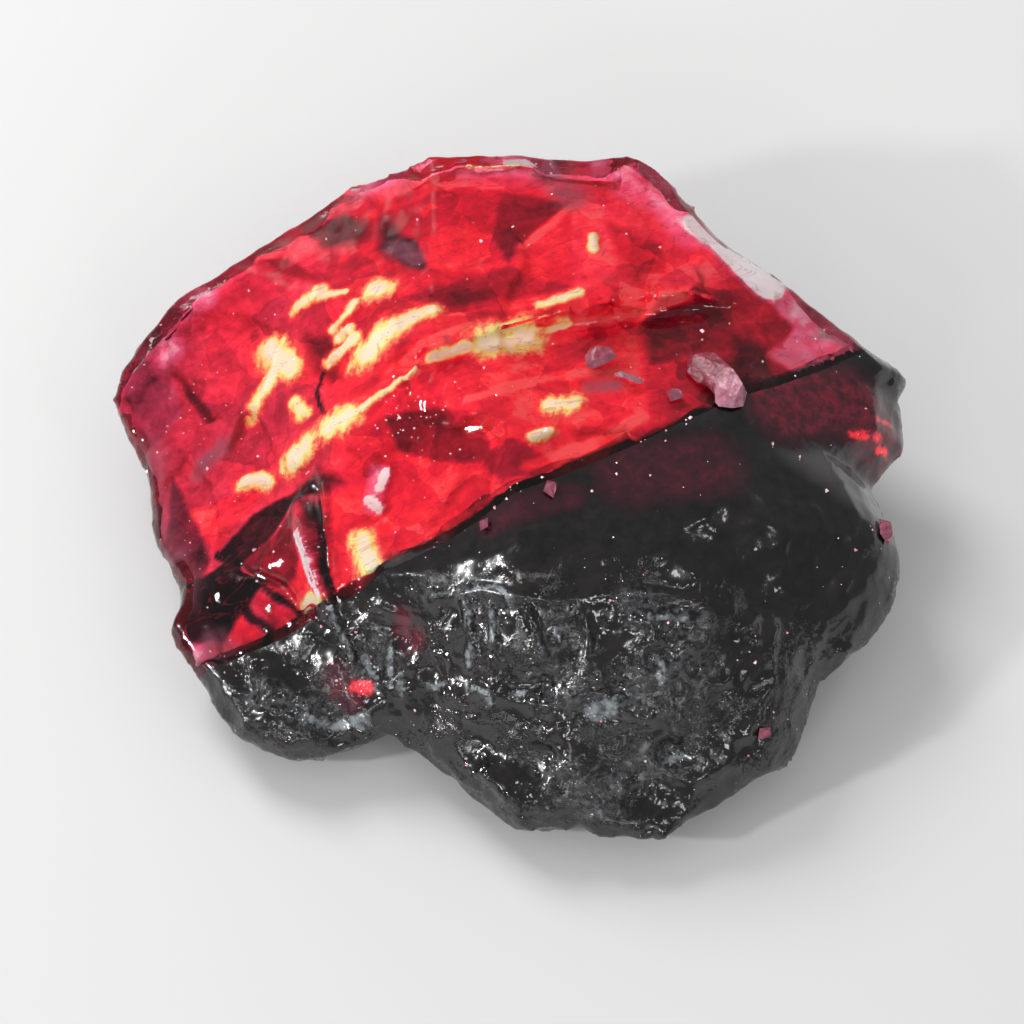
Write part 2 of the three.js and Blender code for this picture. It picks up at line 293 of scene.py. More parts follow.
# The flat faces inside the clear zone, in painted light and shade: how bright each one is at its
# first corner and at its far side (0 black to 1 brightest), how pink it is, and its outline on the
# plan.
FACETS = [
    # behind the ledge
    (0.58, 0.88, 0.0, [(-1.3, 12.0), (2.3, 10.9), (0.3, 8.8), (0.1, 7.5), (-3.0, 7.4), (-5.0, 10.7)]),
    (0.42, 0.62, 0.0, [(-4.1, 6.3), (-2.7, 6.8), (0.1, 7.6), (2.1, 6.7), (0.7, 5.9), (-2.3, 5.2)]),
    (0.42, 0.54, 0.0, [(2.3, 10.9), (-0.3, 11.5), (-0.8, 9.4), (0.0, 7.6), (0.3, 8.7)]),
    (0.86, 0.78, 0.0, [(0.3, 8.8), (2.3, 10.8), (2.4, 9.5), (2.2, 6.7), (0.1, 7.5)]),
    (0.90, 0.82, 0.2,
     [(2.4, 10.8), (4.3, 12.8), (5.8, 12.2), (7.4, 9.8), (8.9, 7.9), (6.9, 6.7), (2.4, 6.2)]),
    (0.52, 0.70, 0.0, [(3.8, 9.8), (5.8, 9.0), (6.0, 7.5), (4.2, 7.2)]),
    (0.88, 0.86, 0.3,
     [(-6.6, 11.3), (-3.6, 11.7), (1.2, 11.6), (6.2, 11.8), (3.8, 13.2), (-3.6, 13.2), (-7.0, 12.2)]),
    (0.88, 0.88, 0.0, [(1.0, 5.6), (3.0, 6.4), (5.6, 6.8), (6.8, 6.5), (5.2, 5.6), (3.0, 5.2)]),
    (0.34, 0.44, 0.0, [(-8.2, 10.7), (-6.5, 11.2), (-5.3, 10.7), (-5.6, 10.0), (-7.4, 9.6)]),
    (0.42, 0.52, 0.0, [(-10.3, 9.3), (-8.8, 9.6), (-7.3, 8.0), (-8.9, 8.6)]),
    (0.08, 0.20, 0.2, [(-4.9, 10.6), (-3.7, 9.2), (-3.0, 7.4), (-3.9, 7.9), (-5.0, 9.1)]),
    # the left part
    (0.60, 0.64, 0.2, [(-12.6, 8.0), (-9.6, 9.3), (-8.4, 8.2), (-10.4, 6.6), (-12.4, 7.0)]),
    (0.76, 0.66, 0.25,
     [(-11.9, 7.4), (-9.8, 6.3), (-9.8, 4.9), (-10.5, 3.4), (-11.6, 3.8), (-12.1, 5.9)]),
    (0.40, 0.56, 0.5,
     [(-15.4, 5.8), (-14.2, 6.2), (-13.5, 5.7), (-12.9, 3.9), (-13.9, 3.0), (-15.0, 3.4)]),
    (0.30, 0.36, 0.0, [(-13.5, 5.7), (-12.9, 5.2), (-11.2, 3.3), (-11.9, 3.4)]),
    (0.30, 0.42, 0.0, [(-7.9, 5.7), (-6.7, 5.4), (-6.3, 3.2), (-7.4, 4.1)]),
    (0.86, 0.78, 0.1, [(-12.3, 0.0), (-9.1, 0.2), (-10.6, -1.3), (-11.2, -2.2), (-11.9, -1.2)]),
    (0.24, 0.34, 0.3, [(-13.2, 1.6), (-12.0, -1.0), (-11.5, -2.4), (-12.4, -4.2), (-13.4, -2.6)]),
    # in front of the ledge
    (0.80, 0.86, 0.0,
     [(-3.8, 1.8), (0.4, 4.2), (5.0, 5.2), (5.2, 0.4), (2.6, -1.5), (-0.4, -0.8), (-1.5, 0.6)]),
    (0.40, 0.56, 0.0, [(-4.8, 1.3), (-2.7, 1.3), (-0.8, 0.2), (-0.4, -1.1), (-2.7, -0.7), (-4.2, 0.1)]),
    (0.46, 0.56, 0.0, [(-1.0, -0.6), (0.3, -0.6), (1.6, -1.2), (1.2, -2.0), (-0.4, -2.1)]),
    (0.74, 0.78, 0.0, [(1.9, 5.0), (4.7, 5.7), (5.0, 4.1), (2.5, 3.7)]),
    (0.80, 0.86, 0.0,
     [(-4.2, 0.1), (-2.7, -0.6), (-1.2, -1.2), (0.3, -2.8), (-2.3, -3.8), (-4.4, -4.5), (-4.6, -2.8)]),
    (0.86, 0.76, 0.0,
     [(-7.0, -1.6), (-5.5, -1.2), (-4.7, -2.5), (-4.6, -3.9), (-5.5, -5.2), (-6.7, -5.4)]),
    (0.26, 0.70, 0.0,
     [(5.1, 5.6), (7.1, 6.7), (10.5, 7.8), (11.6, 7.0), (8.9, 5.0), (8.4, 2.4), (6.7, 3.9),
      (5.3, 3.4)]),
    (0.34, 0.46, 0.1, [(8.6, 5.0), (10.0, 4.6), (11.6, 3.0), (8.6, 1.2), (8.1, 3.1)]),
    (0.92, 1.02, 0.9, [(8.9, 7.9), (11.2, 7.6), (13.9, 5.2), (11.1, 3.7), (9.9, 4.4), (11.0, 6.2)]),
    # the corner at the lower left
    (0.04, 0.12, 0.1,
     [(-11.2, -2.4), (-9.9, -1.0), (-7.2, -0.2), (-6.3, -0.9), (-8.3, -1.2), (-9.1, -2.3),
      (-10.4, -3.1)]),
    (0.30, 0.46, 0.0,
     [(-10.2, -2.9), (-9.0, -2.3), (-8.2, -1.4), (-7.9, -3.4), (-8.0, -4.1), (-8.9, -4.1),
      (-9.9, -3.4)]),
    (0.80, 0.90, 0.0,
     [(-9.3, -4.0), (-8.0, -4.0), (-7.8, -3.2), (-6.8, -5.5), (-7.5, -5.7), (-8.5, -4.8)]),
    (0.60, 0.74, 0.0,
     [(-9.9, -4.2), (-8.9, -4.7), (-7.7, -5.5), (-7.2, -5.8), (-8.1, -6.4), (-8.9, -5.4)]),
    (0.82, 0.70, 0.0,
     [(-10.5, -4.5), (-9.6, -5.4), (-8.8, -6.2), (-9.6, -6.9), (-10.2, -5.7), (-11.0, -5.5)]),
    (0.01, 0.06, 0.0,
     [(-7.9, -1.3), (-7.1, -1.7), (-6.8, -4.2), (-6.7, -5.0), (-7.2, -4.3), (-7.6, -2.8)]),
    (0.02, 0.03, 0.0,
     [(-13.4, -5.2), (-12.2, -3.1), (-10.9, -2.9), (-9.4, -3.9), (-11.0, -5.6), (-11.9, -5.7),
      (-12.8, -5.3)]),
]
# How bright the clear zone is between its faces.
PLAIN_TONE = 0.70
# Dark cracks in the clear zone.
CRACKS = [
    (0.16, [(-11.2, -2.3), (-10.2, -3.5), (-9.2, -4.2), (-7.6, -5.4)]),
    (0.20, [(-10.6, -4.0), (-9.8, -5.0), (-8.9, -5.7), (-7.9, -6.2)]),
    (0.12, [(-7.2, -1.4), (-6.8, -4.0), (-6.6, -5.2)]),
    (0.10, [(-6.9, 4.6), (-7.4, 3.0), (-7.0, 1.5)]),
]
# Pink and mauve clouds in the clear zone.
PINK_PATCHES = [
    (0.7, [(-13.2, 7.9), (-12.0, 8.3)]),
    (0.8, [(-14.0, 7.0), (-13.4, 6.2)]),
    (0.6, [(-6.0, 12.2), (-3.6, 12.6), (1.2, 12.6), (3.6, 12.6)]),
    (1.3, [(4.6, 12.4), (6.4, 11.2), (7.2, 9.8)]),
    (0.9, [(10.4, 7.6), (11.4, 6.6), (13.0, 5.0)]),
    (0.45, [(-5.0, -0.7), (-5.2, -1.9)]),
    (0.6, [(-12.8, -5.8), (-12.0, -6.1)]),
]
MAUVE_PATCHES = [
    (1.0, [(1.6, 12.4), (2.4, 11.3)]),
    (0.6, [(-4.5, 9.2), (-3.6, 8.2)]),
    (1.5, [(-14.6, 2.4), (-14.2, -0.8), (-13.0, -3.4)]),
    (0.8, [(-15.2, 6.4), (-13.9, 7.6)]),
    (0.9, [(-11.2, -5.9), (-10.5, -7.2)]),
    (1.0, [(-12.0, -7.0), (-11.2, -8.0)]),
    (0.6, [(-12.0, 1.6), (-11.2, 2.2)]),
    (0.5, [(3.0, 2.0), (3.9, 2.2)]),
    (0.7, [(12.4, 6.2), (14.0, 5.4)]),
]


def inside(points, outline):
    """How far inside an outline on the plan each point lies, below 0 outside it."""
    plan = points[:, :2]
    within = np.zeros(len(points), bool)
    gap = path_gap(points, outline + outline[:1])
    for start, end in zip(outline, outline[1:] + outline[:1]):
        (x0, y0), (x1, y1) = start, end
        if y0 != y1:
            spans = (plan[:, 1] < y0) != (plan[:, 1] < y1)
            cut = x0 + (plan[:, 1] - y0) * (x1 - x0) / (y1 - y0)
            within ^= spans & (plan[:, 0] < cut)
    return np.where(within, gap, -gap)


def facet_tones(points, upward):
    """The painted light and shade and the pinkness that the inner faces give to each point."""
    # Painted light: brighter towards the back; darker at the far left.
    tone = PLAIN_TONE + 0.12 * noise(points, 3.0, 401) + 0.08 * smooth(points[:, 1], 7.0, 11.0)
    tone -= 0.10 * smooth(-points[:, 0], 10.0, 14.0)
    # Painted shade: darker and patchier on faces that do not face up.
    tone += (1 - upward) * (0.35 * noise(points, 2.2, 431) - 0.14)
    pink = 0.3 * smooth(-points[:, 0], 4.0, 9.0)
    wavy = warp(points, 0.9, 0.09, 411)
    soft = 0.14 + 0.6 * smooth(noise(points, 2.4, 421), 0.0, 0.8)
    for start, end, blush, outline in FACETS:
        share = np.clip(0.5 + inside(wavy, outline) / soft, 0, 1) * (0.35 + 0.65 * upward)
        first = np.array(outline[0])
        run = np.mean(outline, axis=0) - first
        along = np.clip((points[:, :2] - first) @ run / (run @ run) / 2, 0, 1)
        tone += (start + (end - start) * along - tone) * share
        pink += (blush - pink) * share
    # Painted light along the thin bright lines.
    tone += 0.22 * smooth(marks(wavy, PAINTED_LIGHT_LINES), -0.2, 0.7)
    cracked = smooth(marks(wavy, CRACKS), 0.0, 0.6)
    return tone * (1 - 0.9 * cracked), pink


# ---- the edge of the painted shade and the surface -----------------------------------------

def boundary_line(points):
    """The y on the plan where the clear red ends and the painted shade begins, at each point's x."""
    x = points[:, 0]
    return BOUNDARY_START + BOUNDARY_SLOPE * x + BOUNDARY_BEND * x * x


def boundary(points):
    """How far a point lies behind the line where the clear red ends and the painted shade begins."""
    return (points[:, 1] - boundary_line(points)) * BOUNDARY_LEAN


def scallops(points, size, seed, bend):
    """Shell-shaped dents with sharp rims between them, from -1 in a dent to 1 on a rim."""
    _, near, name = cells(warp(points, size * 0.8, bend, seed), size, seed + 3)
    return (near ** 2 - 0.35) * (0.3 + name)


# Ridges: the height and half width of each one and its line on the plan.
RIDGES = [
    (0.24, 0.45, [(-8.1, -1.6), (-7.5, -3.8), (-6.8, -5.5)]),
    (0.20, 0.30, [(-2.9, -5.9), (-1.1, -6.1), (-0.2, -6.5)]),
    (0.16, 0.28, [(-0.2, -6.5), (1.6, -6.7), (4.4, -6.4), (7.0, -6.4)]),
    (0.22, 0.26, [(-1.7, -6.3), (-1.5, -7.2), (-1.4, -8.1)]),
    (0.20, 0.22, [(-0.8, -6.6), (-0.6, -7.8)]),
    (0.20, 0.26, [(0.6, -6.9), (0.9, -7.6), (1.1, -8.3)]),
    (0.18, 0.26, [(2.6, -6.8), (2.9, -8.0), (2.7, -9.0)]),
    (0.22, 0.30, [(5.1, -7.0), (5.7, -8.6), (6.2, -10.4)]),
    (0.20, 0.30, [(-6.8, -5.6), (-6.3, -6.6), (-5.8, -7.4)]),
    (0.25, 0.35, [(-2.4, -8.6), (0.6, -9.4), (3.0, -9.4), (5.2, -9.9)]),
]
# Creases: the half width of each one and its line on the plan.
CREASES = [
    (0.30, [(-7.4, -1.2), (-7.2, -3.0), (-7.0, -4.4)]),
    (0.30, [(-10.4, -3.4), (-8.7, -4.5), (-8.0, -5.6)]),
]
# Round dents: the radius and the middle of each one.
DENTS = [
    (0.75, (6.1, -10.8, 4.0)),
    (0.70, (3.0, -9.8, 5.6)),
    (0.60, (1.2, -9.1, 6.0)),
    (0.65, (5.5, -8.4, 7.0)),
    (0.45, (6.2, -7.3, 7.6)),
    (0.80, (1.0, -11.0, 3.8)),
    (0.55, (1.9, -11.9, 3.5)),
    (0.60, (-5.5, -7.3, 4.4)),
    (0.50, (-4.7, -7.5, 4.5)),
    (0.90, (-6.8, -8.9, 3.1)),
    (0.65, (-2.9, -7.9, 5.1)),
    (0.70, (4.8, -12.2, 2.8)),
    (1.10, (-1.1, -10.4, 3.8)),
    (0.45, (-4.2, -6.8, 5.4)),
    (0.50, (4.0, -9.2, 6.1)),
    (0.60, (7.8, -9.4, 5.6)),
    (0.80, (-9.9, -8.3, 3.4)),
]


def crystal_relief(points, normals):
    """How far the surface stands out at each point, in millimetres."""
    behind = boundary(points)
    flank = smooth(-points[:, 1], 5.2, 6.6) * smooth(9.0 - points[:, 2], 0.3, 1.4)
    crown = smooth(normals[:, 2], 0.9, 0.98) * smooth(-behind, -2.0, 0.5)
    rough = 1 - 0.85 * crown
    side = 1 - np.abs(normals[:, 2])
    wall = smooth(side, 0.5, 0.8) * (1 - flank)
    relief = 0.26 * scallops(points, 3.4, 11, 0.6) * rough
    relief += (0.11 + 0.36 * flank + 0.16 * wall) * scallops(points, 1.7, 21, 0.4) * rough
    relief += (0.05 + 0.10 * flank) * scallops(points, 0.8, 51, 0.25) * rough
    relief += 0.016 * noise(points, 0.5, 41) * (1 - 0.7 * crown)
    relief += 0.10 * side * noise(points, 0.9, 71)
    relief += raised(points, RIDGES)
    relief -= 0.25 * smooth(marks(points, CREASES), 0, 0.8)
    relief -= dented(points)
    return relief


def raised(points, ridges):
    """Narrow glassy ridges, each of its own height and half width."""
    relief = np.zeros(len(points))
    for height, width, path in ridges:
        across = np.clip(1 - path_gap(points, path) / width, 0, 1)
        relief = np.maximum(relief, height * across)
    return relief


def dented(points):
    """Round shell-like hollows that each catch the light."""
    relief = np.zeros(len(points))
    for radius, place in DENTS:
        gap = np.linalg.norm(points - np.array(place), axis=1) / radius
        relief = np.maximum(relief, DENT_DEPTH * radius * np.clip(1 - gap * gap, 0, 1))
    return relief


def make_crystal():
    """The whole stone: its fine surface, its two zones and the marks that its materials read."""
    mesh = remeshed(cad_copy("crystal"), VOXEL)
    points = relaxed(points_of(mesh), edges_of(mesh), 3)
    set_points(mesh, points)
    normals = normals_of(mesh)
    relief = crystal_relief(points, normals)
    ground = smooth(points[:, 2], 0.05, 1.0)
    points = points + normals * (relief * ground)[:, None]
    points[:, 2] = np.maximum(points[:, 2], 0.0)
    set_points(mesh, points)
    cut_at_boundary(mesh)
    two_zones(mesh)
    points = points_of(mesh)
    # The dark zone's painted red glow, its painted shoulder sheen and how much it glitters.
    paint(mesh, painted_red_glow(points), shoulder_sheen(points), sparkle(points))
    return shown("ruby_crystal", mesh)


def shown(name, mesh):
    """Puts a mesh made in millimetres into the scene as a smooth-shaded object."""
    mesh.shade_smooth()
    set_points(mesh, points_of(mesh) * MM)
    piece = bpy.data.objects.new(name, mesh)
    bpy.context.scene.collection.objects.link(piece)
    return piece


def paint(mesh, first, second, third, fourth=1.0):
    """Keeps four numbers for each point, for the material to read."""
    layer = mesh.color_attributes.new("marks", "FLOAT_COLOR", "POINT")
    full = np.ones((len(first), 4), np.float32)
    full[:, 0], full[:, 1], full[:, 2], full[:, 3] = first, second, third, fourth
    layer.data.foreach_set("color", full.ravel())


# Painted red glow on the dark zone, where light comes through: how strongly, how widely and where.
RED_GLOW_STROKES = [
    (1.0, 0.40, [(-5.9, -7.9), (-5.4, -8.0)]),
    (0.30, 0.9, [(-6.6, -7.6), (-6.0, -8.3)]),
    (0.32, 0.7, [(-4.1, -6.3), (-3.6, -6.9)]),
    (0.75, 0.22, [(14.2, 2.5), (14.8, 2.7)]),
    (0.80, 0.28, [(13.1, 1.6), (14.3, 1.9)]),
    (0.80, 0.20, [(14.2, 1.5), (14.6, 1.7)]),
    (0.34, 2.4, [(10.2, 2.0), (12.6, 2.8), (14.2, 2.2)]),
    (0.22, 2.2, [(4.4, -1.9), (7.6, -1.4)]),
    (0.20, 1.0, [(-0.6, -3.9), (2.2, -2.9)]),
]


def painted_red_glow(points):
    """How much painted red glow lies on the dark zone, from 0 to 1."""
    red_glow_share = np.zeros(len(points))
    for strength, width, path in RED_GLOW_STROKES:
        near = smooth(1 - path_gap(points, path) / width, 0.0, 0.75)
        red_glow_share = np.maximum(red_glow_share, strength * near)
    return red_glow_share * smooth(points[:, 2], 2.0, 3.4)


# The rounded shoulder at the right of the dark zone, where a grey sheen is painted.
SHOULDER_MARK = [(1.5, [(11.2, 0.8), (14.4, -0.6)])]


def shoulder_sheen(points):
    """1 on the shoulder, where the painted grey sheen lies, 0 elsewhere."""
    return smooth(marks(points, SHOULDER_MARK), -0.2, 0.7)


# Where the dark flank glitters: real glinting bumps, with a paler grey painted on as highlight.
GLITTER = [
    (1.1, [(1.4, -9.0), (3.0, -9.8), (4.8, -9.2), (6.6, -8.6)]),
    (0.7, [(-3.1, -5.6), (-1.6, -5.9), (-0.9, -7.2)]),
    (0.8, [(4.4, -6.8), (6.8, -7.2)]),
    (0.7, [(-9.6, -8.0), (-8.3, -8.4), (-6.4, -8.8)]),
    (0.8, [(1.4, -11.2), (3.0, -12.2), (6.0, -10.8)]),
    (0.5, [(-4.8, -6.4), (-5.2, -7.2)]),
]
# Painted highlights along thin ridges of the dark flank, in pale grey.
RIDGE_HIGHLIGHTS = [
    (0.12, [(-2.9, -5.9), (-1.6, -6.0), (-0.7, -6.1)]),
    (0.15, [(-0.6, -6.1), (0.0, -6.7)]),
    (0.12, [(-1.7, -6.4), (-1.5, -7.3)]),
    (0.12, [(-0.7, -6.9), (-0.7, -7.7)]),
    (0.20, [(-1.5, -7.7), (-1.5, -8.0)]),
    (0.22, [(-5.5, -7.0), (-5.1, -7.6)]),
    (0.16, [(-4.6, -6.9), (-4.5, -7.6)]),
    (0.18, [(-4.2, -7.8), (-4.1, -8.2)]),
    (0.14, [(-3.1, -8.2), (-2.5, -8.3)]),
    (0.10, [(1.0, -7.8), (1.1, -8.3)]),
    (0.14, [(1.6, -7.5), (1.8, -7.8)]),
    (0.10, [(4.8, -9.4), (5.1, -9.9)]),
    (0.26, [(5.9, -10.9), (6.3, -10.7)]),
    (0.16, [(1.0, -10.9), (1.1, -11.2)]),
    (0.14, [(-1.4, -8.8), (-0.8, -9.3)]),
    (0.14, [(0.1, -9.2), (0.5, -9.1)]),
    (0.28, [(2.9, -9.8), (3.8, -9.7)]),
    (0.24, [(-7.7, -8.9), (-5.5, -8.9)]),
    (0.26, [(5.5, -8.4), (5.6, -8.9)]),
    (0.10, [(2.0, -6.8), (2.2, -7.1)]),
    (0.14, [(5.0, -7.2), (6.5, -7.0)]),
    (0.16, [(6.2, -9.5), (6.3, -9.9)]),
    (0.14, [(-6.8, -5.6), (-6.0, -7.0)]),
]


def sparkle(points):
    """How it glitters: about 1 on the flank, 2 on bright patches and 3 on painted ridge highlights."""
    flank = smooth(-points[:, 1], 4.6, 6.6)
    glitter_patch = smooth(marks(points, GLITTER) + 0.4 * noise(points, 0.9, 441), -0.2, 0.8)
    low = smooth(4.5 - points[:, 2], 0.0, 1.5)
    glitter = 0.15 + 0.75 * np.maximum(flank, 0.6 * low) + 1.1 * glitter_patch
    ridge_shine = smooth(marks(warp(points, 0.5, 0.08, 451), RIDGE_HIGHLIGHTS), -0.6, 0.5)
    return np.maximum(glitter, 3.0 * ridge_shine)


def cut_at_boundary(mesh):
    """Splits the faces that cross the edge of the painted shade, so that its line is clean."""
    bm = bmesh.new()
    bm.from_mesh(mesh)
    bm.verts.ensure_lookup_table()
    behind = boundary(np.array([v.co for v in bm.verts]))
    crossing = [e for e in bm.edges if behind[e.verts[0].index] * behind[e.verts[1].index] < 0]
    fresh = set()
    for edge in crossing:
        first, second = edge.verts
        start, end = behind[first.index], behind[second.index]
        _, middle = bmesh.utils.edge_split(edge, first, start / (start - end))
        fresh.add(middle)
    # Split in the order of their numbers, so that every run lists the faces alike.
    crossed = {face for vert in fresh for face in vert.link_faces}
    for face in sorted(crossed, key=lambda crossed_face: crossed_face.index):
        corners = [v for v in face.verts if v in fresh]
        if len(corners) == 2:
            bmesh.utils.face_split(face, corners[0], corners[1])
    bm.to_mesh(mesh)
    bm.free()


def two_zones(mesh):
    """Slot 0 is the clear red zone and slot 1 the dark one, an opaque black of painted shade."""
    middles = np.empty(len(mesh.polygons) * 3, np.float32)
    mesh.polygons.foreach_get("center", middles)
    behind = boundary(middles.reshape(-1, 3).astype(float))
    mesh.materials.clear()
    mesh.materials.append(None)
    mesh.materials.append(None)
    mesh.polygons.foreach_set("material_index", (behind < 0).astype(np.int32))


# ---- what is sealed in the clear zone ------------------------------------------------------

def silk_depth(points):
    """How far below the skin the cloudy silk starts, in millimetres."""
    place, _, name = cells(warp(points, 2.2, 0.5, 131), 3.0, 133)
    tilt = (place[:, 0] * (name - 0.5) + place[:, 1] * (0.5 - (name * 7.3) % 1)) * 1.4
    depth = 0.30 + tilt + 0.25 * ((name * 13.7) % 1)
    hot = smooth(marks(points, PAINTED_GLOW_STREAKS + PAINTED_HIGHLIGHTS), -0.5, 0.5)
    depth = depth * (1 - 0.6 * hot)
    return np.clip(depth, 0.0, 1.0)


def make_silk():
    """The cloudy silk inside the clear zone, seen red through the clear skin, in painted light and
    shade.
    """
    mesh = remeshed(cad_copy("crystal"), SILK_START_VOXEL)
    points = relaxed(points_of(mesh), edges_of(mesh), 2)
    set_points(mesh, points)
    points = points - normals_of(mesh) * SILK_GAP
    points[:, 1] = np.maximum(points[:, 1], boundary_line(points) + SILK_BOUNDARY_GAP)
    set_points(mesh, points)
    mesh = remeshed(mesh, SILK_VOXEL)
    points = relaxed(points_of(mesh), edges_of(mesh), 1)
    set_points(mesh, points)
    normals = normals_of(mesh)
    follow = np.clip(crystal_relief(points + normals * SILK_GAP, normals), -0.6, 0.05)
    points = points + normals * (follow - silk_depth(points))[:, None]
    points = relaxed(points, edges_of(mesh), 1)
    set_points(mesh, points)
    upward = smooth(normals[:, 2], 0.1, 0.5)
    # Painted glow, only on faces that face up.
    hot = np.maximum(marks(points, PAINTED_GLOW_STREAKS) - 1.4 * (1 - upward), -1)
    tone, blush = facet_tones(points, upward)
    pink = np.maximum(blush, smooth(marks(points, PINK_PATCHES), -0.2, 0.8))
    # Painted highlight: the pink channel goes above 1 where white is painted, at the right only up
    # high.
    highlight_reach = np.where(points[:, 0] > 5.0, smooth(points[:, 2], 5.0, 6.5), 1.0)
    pink = np.maximum(pink, 2.0 * smooth(marks(points, PAINTED_HIGHLIGHTS), 0.0, 0.5) * highlight_reach)
    paint(mesh, hot, tone, pink, smooth(marks(points, MAUVE_PATCHES), -0.1, 0.8))
    return shown("inner_silk", mesh)


# ---- loose dust ----------------------------------------------------------------------------

# The hollow in front of the ledge, where much of the dust lies.
DUSTY_HOLLOW = [(2.2, [(-4.4, 0.6), (-1.8, -0.4)])]


def dust_weight(points):
    """How likely a grain is to lie at each point, from 0 to 1."""
    hollow = smooth(marks(points, DUSTY_HOLLOW), 0, 0.6)
    margin = smooth(-points[:, 0], 8.5, 12.0)
    flank = smooth(-points[:, 1], 5.6, 7.0)
    edge = 1 - smooth(np.abs(boundary(points)), 0.1, 0.9)
    patchy = smooth(noise(points, 1.8, 301), -0.2, 0.6)
    return (0.06 + 0.6 * hollow + 0.22 * margin + 0.03 * flank + 0.30 * edge) * (0.2 + 0.8 * patchy)


def make_dust(points, normals):
    """Tiny broken grains lying on the stone, joined into one mesh."""
    rows = np.stack([np.arange(len(points))] * 3, axis=1)
    chance = hashed(rows, 311)
    upward = normals[:, 2] > 0.15
    order = np.argsort(chance / np.maximum(dust_weight(points), 1e-6) + FAR * ~upward)
    mesh = bpy.data.meshes.new("surface_dust")
    corners, faces = [], []
    shape = np.array([(1, 0, 0), (0, 1, 0), (-1, 0, 0), (0, -1, 0), (0, 0, 1), (0, 0, -1)], float)
    sides = [(0, 1, 4), (1, 2, 4), (2, 3, 4), (3, 0, 4), (1, 0, 5), (2, 1, 5), (3, 2, 5), (0, 3, 5)]
    for count, spot in enumerate(order[:DUST_COUNT]):
        keys = np.array([[count, spot, k] for k in range(shape.size)])
        shake = hashed(keys, 321).reshape(shape.shape) - 0.5
        size = DUST_SMALLEST + DUST_SPREAD * hashed(keys, 331)[0] ** 4
        grain = (shape + 0.9 * shake) * size
        corners.extend(points[spot] + normals[spot] * size * 0.3 + grain)
        faces.extend(tuple(c + count * len(shape) for c in side) for side in sides)
    mesh.from_pydata([tuple(c * MM) for c in corners], [], faces)
    piece = bpy.data.objects.new("surface_dust", mesh)
    bpy.context.scene.collection.objects.link(piece)
    return piece


# ---- materials -----------------------------------------------------------------------------

MIDDLE_COLOR = (0.5, 0.5, 0.5)
# How much of the green and blue light the clear zone takes away for each metre.
CLEAR_DENSITY = 90.0
CLEAR_TINT = (0.98, 0.05, 0.18, 1)
# The colours of the silk from its darkest to its brightest faces, from painted shade to painted
# light, and where it is rosy.
SILK_TONES = [
    (0.0, (0.005, 0.002, 0.003)),
    (0.15, (0.026, 0.003, 0.006)),
    (0.35, (0.15, 0.005, 0.014)),
    (0.55, (0.42, 0.009, 0.028)),
    (0.74, (0.80, 0.015, 0.044)),
    (0.88, (1.0, 0.032, 0.055)),
    (1.0, (1.0, 0.11, 0.12)),
]
ROSY_TONES = [
    (0.1, (0.10, 0.02, 0.04)),
    (0.5, (0.55, 0.06, 0.16)),
    (0.8, (0.96, 0.16, 0.33)),
    (1.0, (1.0, 0.24, 0.44)),
]
# The colours of a painted glowing streak from its rim to its middle.
PAINTED_GLOW_TONES = [
    (0.0, (1.0, 0.06, 0.07)),
    (0.2, (1.0, 0.15, 0.11)),
    (0.40, (1.0, 0.44, 0.18)),
    (0.60, (1.0, 0.84, 0.27)),
    (0.8, (1.0, 1.0, 0.36)),
    (1.0, (1.0, 1.0, 0.74)),
]
# The painted red glow on the dark zone, from weak to strong.
RED_GLOW_TONES = [
    (0.05, (0.004, 0.002, 0.003)),
    (0.25, (0.022, 0.003, 0.006)),
    (0.5, (0.10, 0.004, 0.012)),
    (1.0, (0.80, 0.018, 0.03)),
]
MAUVE = (0.26, 0.10, 0.145)
# The red halo round a painted glowing streak.
GLOW_HALO_RED = (1.0, 0.075, 0.075)
# The white of a painted highlight.
PAINTED_HIGHLIGHT_WHITE = (1.0, 1.0, 1.0)
THREAD_RED = (0.30, 0.01, 0.03)
# The dark zone: painted shade in black, smoky mottling, a painted sheen, painted highlights and painted
# glints.
PAINTED_SHADE_BLACK = [(0.35, (0.002, 0.002, 0.002)), (0.65, (0.006, 0.005, 0.005))]
SMOKE = (0.012, 0.009, 0.009)
SHOULDER_SHEEN_GREY = (0.06, 0.057, 0.06)
GLITTER_HIGHLIGHT_GREY = (0.030, 0.031, 0.034)
RIDGE_HIGHLIGHT_GREY = (0.13, 0.145, 0.155)
GLINT_SPECK_GREY = (0.45, 0.40, 0.42)


